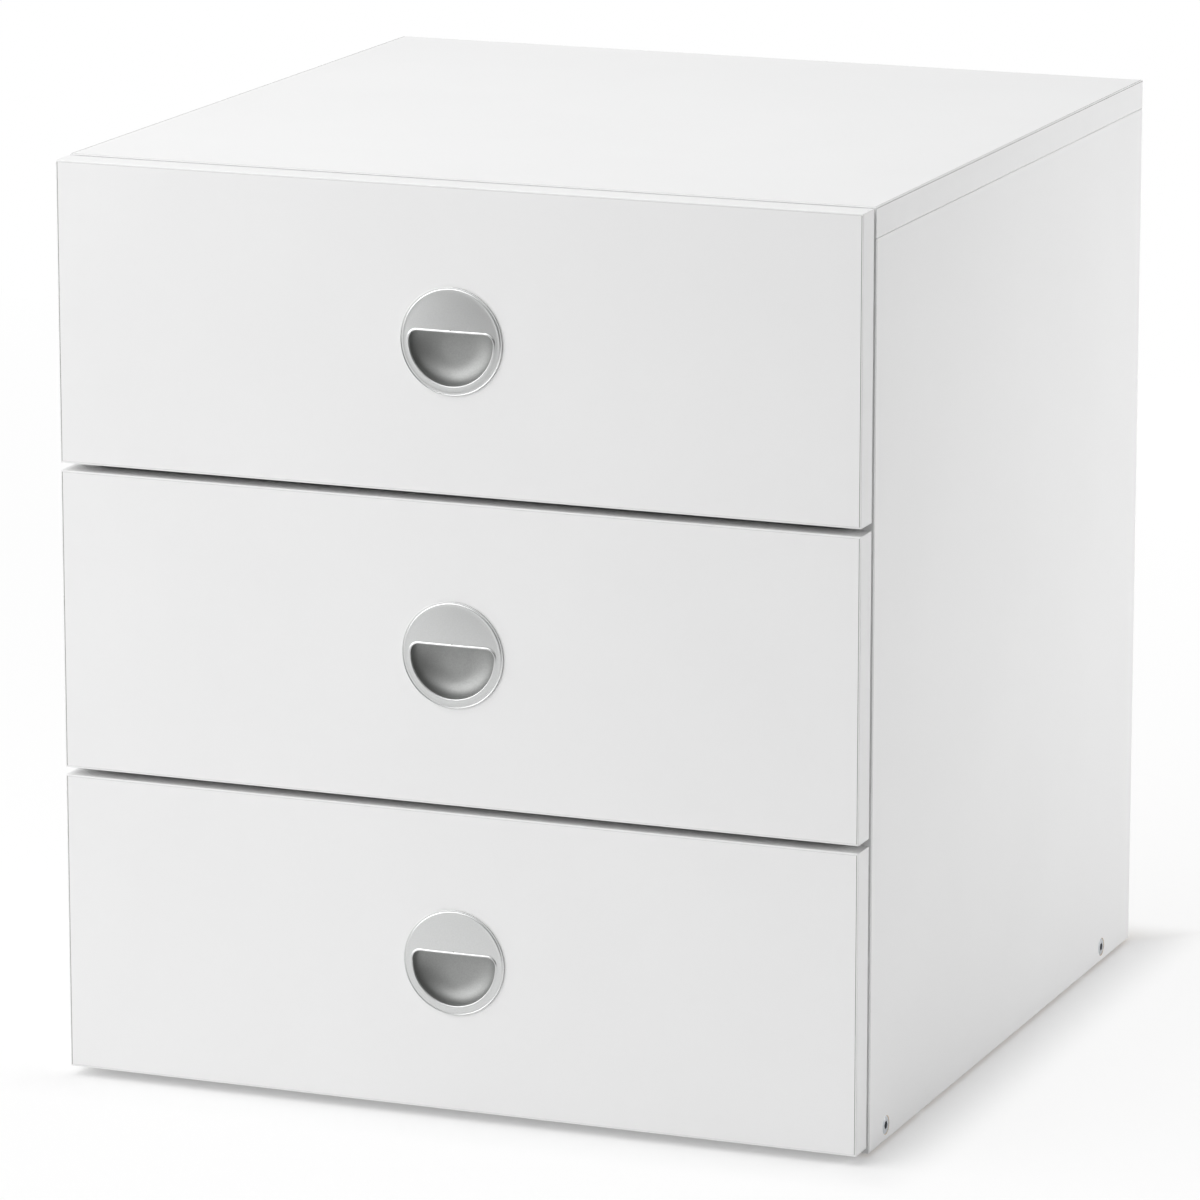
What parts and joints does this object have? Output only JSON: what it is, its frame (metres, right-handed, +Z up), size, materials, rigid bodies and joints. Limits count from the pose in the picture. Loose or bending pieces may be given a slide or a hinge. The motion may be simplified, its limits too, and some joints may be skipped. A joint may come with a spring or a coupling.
{
  "type": "storage drawer unit",
  "caption": "White board storage unit: carcass with stacked drawers on roller runners, full-overlay fronts and round silver flush pulls with half-moon finger recesses.",
  "frame": {"origin": "on the floor, under the middle of the unit's outer box with the drawers shut", "axes": "+X to the right seen from the front, +Y from the front to the back, +Z up"},
  "size_m": [0.45, 0.468, 0.5],
  "materials": {
    "melamine_board": "white melamine facing",
    "hardboard": "white lacquer on one face",
    "silver_lacquer": "satin silver lacquer",
    "zinc_plated_steel": "bright zinc plating",
    "white_coated_steel": "white epoxy coating",
    "nylon": "moulded",
    "glide_plastic": "moulded",
    "beech": "turned and fluted"
  },
  "bodies": {
    "carcass": {"left_side_panel": "melamine_board", "right_side_panel": "melamine_board", "top_panel": "melamine_board", "bottom_panel": "melamine_board", "back_panel": "hardboard", "bottom_panel_screws": "zinc_plated_steel", "top_panel_cam_locks": "zinc_plated_steel", "top_panel_cam_bolts": "zinc_plated_steel", "top_panel_dowels": "beech", "back_panel_nails": "zinc_plated_steel", "floor_glides": "glide_plastic", "channel_screws": "zinc_plated_steel", "bottom_drawer_left_channel": "white_coated_steel", "bottom_drawer_right_channel": "white_coated_steel", "middle_drawer_left_channel": "white_coated_steel", "middle_drawer_right_channel": "white_coated_steel", "top_drawer_left_channel": "white_coated_steel", "top_drawer_right_channel": "white_coated_steel"},
    "bottom_drawer": {"bottom_drawer_front": "melamine_board", "bottom_drawer_back": "melamine_board", "bottom_drawer_bottom": "hardboard", "bottom_drawer_pull": "silver_lacquer", "bottom_drawer_cam_locks": "zinc_plated_steel", "bottom_drawer_cam_bolts": "zinc_plated_steel", "bottom_drawer_box_screws": "zinc_plated_steel", "bottom_drawer_rail_screws": "zinc_plated_steel", "bottom_drawer_left_side": "melamine_board", "bottom_drawer_left_rail": "white_coated_steel", "bottom_drawer_right_side": "melamine_board", "bottom_drawer_right_rail": "white_coated_steel"},
    "bottom_front_rollers": {"bottom_drawer_front_rollers": "nylon"},
    "bottom_rear_rollers": {"bottom_drawer_rear_rollers": "nylon"},
    "middle_drawer": {"middle_drawer_front": "melamine_board", "middle_drawer_back": "melamine_board", "middle_drawer_bottom": "hardboard", "middle_drawer_pull": "silver_lacquer", "middle_drawer_cam_locks": "zinc_plated_steel", "middle_drawer_cam_bolts": "zinc_plated_steel", "middle_drawer_box_screws": "zinc_plated_steel", "middle_drawer_rail_screws": "zinc_plated_steel", "middle_drawer_left_side": "melamine_board", "middle_drawer_left_rail": "white_coated_steel", "middle_drawer_right_side": "melamine_board", "middle_drawer_right_rail": "white_coated_steel"},
    "middle_front_rollers": {"middle_drawer_front_rollers": "nylon"},
    "middle_rear_rollers": {"middle_drawer_rear_rollers": "nylon"},
    "top_drawer": {"top_drawer_front": "melamine_board", "top_drawer_back": "melamine_board", "top_drawer_bottom": "hardboard", "top_drawer_pull": "silver_lacquer", "top_drawer_cam_locks": "zinc_plated_steel", "top_drawer_cam_bolts": "zinc_plated_steel", "top_drawer_box_screws": "zinc_plated_steel", "top_drawer_rail_screws": "zinc_plated_steel", "top_drawer_left_side": "melamine_board", "top_drawer_left_rail": "white_coated_steel", "top_drawer_right_side": "melamine_board", "top_drawer_right_rail": "white_coated_steel"},
    "top_front_rollers": {"top_drawer_front_rollers": "nylon"},
    "top_rear_rollers": {"top_drawer_rear_rollers": "nylon"}
  },
  "joints": [
    {"name": "bottom_drawer_slide", "type": "slide", "parent": "carcass", "child": "bottom_drawer", "axis": [0, -1, 0], "range_m": [0, 0.3]},
    {"name": "bottom_front_rollers_turn", "type": "hinge", "parent": "carcass", "child": "bottom_front_rollers", "pos_m": [0, -0.197, 0.0315], "axis": [1, 0, 0], "range_deg": [0, 1910]},
    {"name": "bottom_rear_rollers_turn", "type": "hinge", "parent": "bottom_drawer", "child": "bottom_rear_rollers", "pos_m": [0, 0.172, 0.0315], "axis": [1, 0, 0], "range_deg": [0, 1910]},
    {"name": "middle_drawer_slide", "type": "slide", "parent": "carcass", "child": "middle_drawer", "axis": [0, -1, 0], "range_m": [0, 0.3]},
    {"name": "middle_front_rollers_turn", "type": "hinge", "parent": "carcass", "child": "middle_front_rollers", "pos_m": [0, -0.197, 0.1975], "axis": [1, 0, 0], "range_deg": [0, 1910]},
    {"name": "middle_rear_rollers_turn", "type": "hinge", "parent": "middle_drawer", "child": "middle_rear_rollers", "pos_m": [0, 0.172, 0.1975], "axis": [1, 0, 0], "range_deg": [0, 1910]},
    {"name": "top_drawer_slide", "type": "slide", "parent": "carcass", "child": "top_drawer", "axis": [0, -1, 0], "range_m": [0, 0.3]},
    {"name": "top_front_rollers_turn", "type": "hinge", "parent": "carcass", "child": "top_front_rollers", "pos_m": [0, -0.197, 0.3635], "axis": [1, 0, 0], "range_deg": [0, 1910]},
    {"name": "top_rear_rollers_turn", "type": "hinge", "parent": "top_drawer", "child": "top_rear_rollers", "pos_m": [0, 0.172, 0.3635], "axis": [1, 0, 0], "range_deg": [0, 1910]}
  ],
  "couplings": [
    {"joint": "bottom_front_rollers_turn", "follows": "bottom_drawer_slide", "rad_per_m": 111.11},
    {"joint": "bottom_rear_rollers_turn", "follows": "bottom_drawer_slide", "rad_per_m": 111.11},
    {"joint": "middle_front_rollers_turn", "follows": "middle_drawer_slide", "rad_per_m": 111.11},
    {"joint": "middle_rear_rollers_turn", "follows": "middle_drawer_slide", "rad_per_m": 111.11},
    {"joint": "top_front_rollers_turn", "follows": "top_drawer_slide", "rad_per_m": 111.11},
    {"joint": "top_rear_rollers_turn", "follows": "top_drawer_slide", "rad_per_m": 111.11}
  ]
}
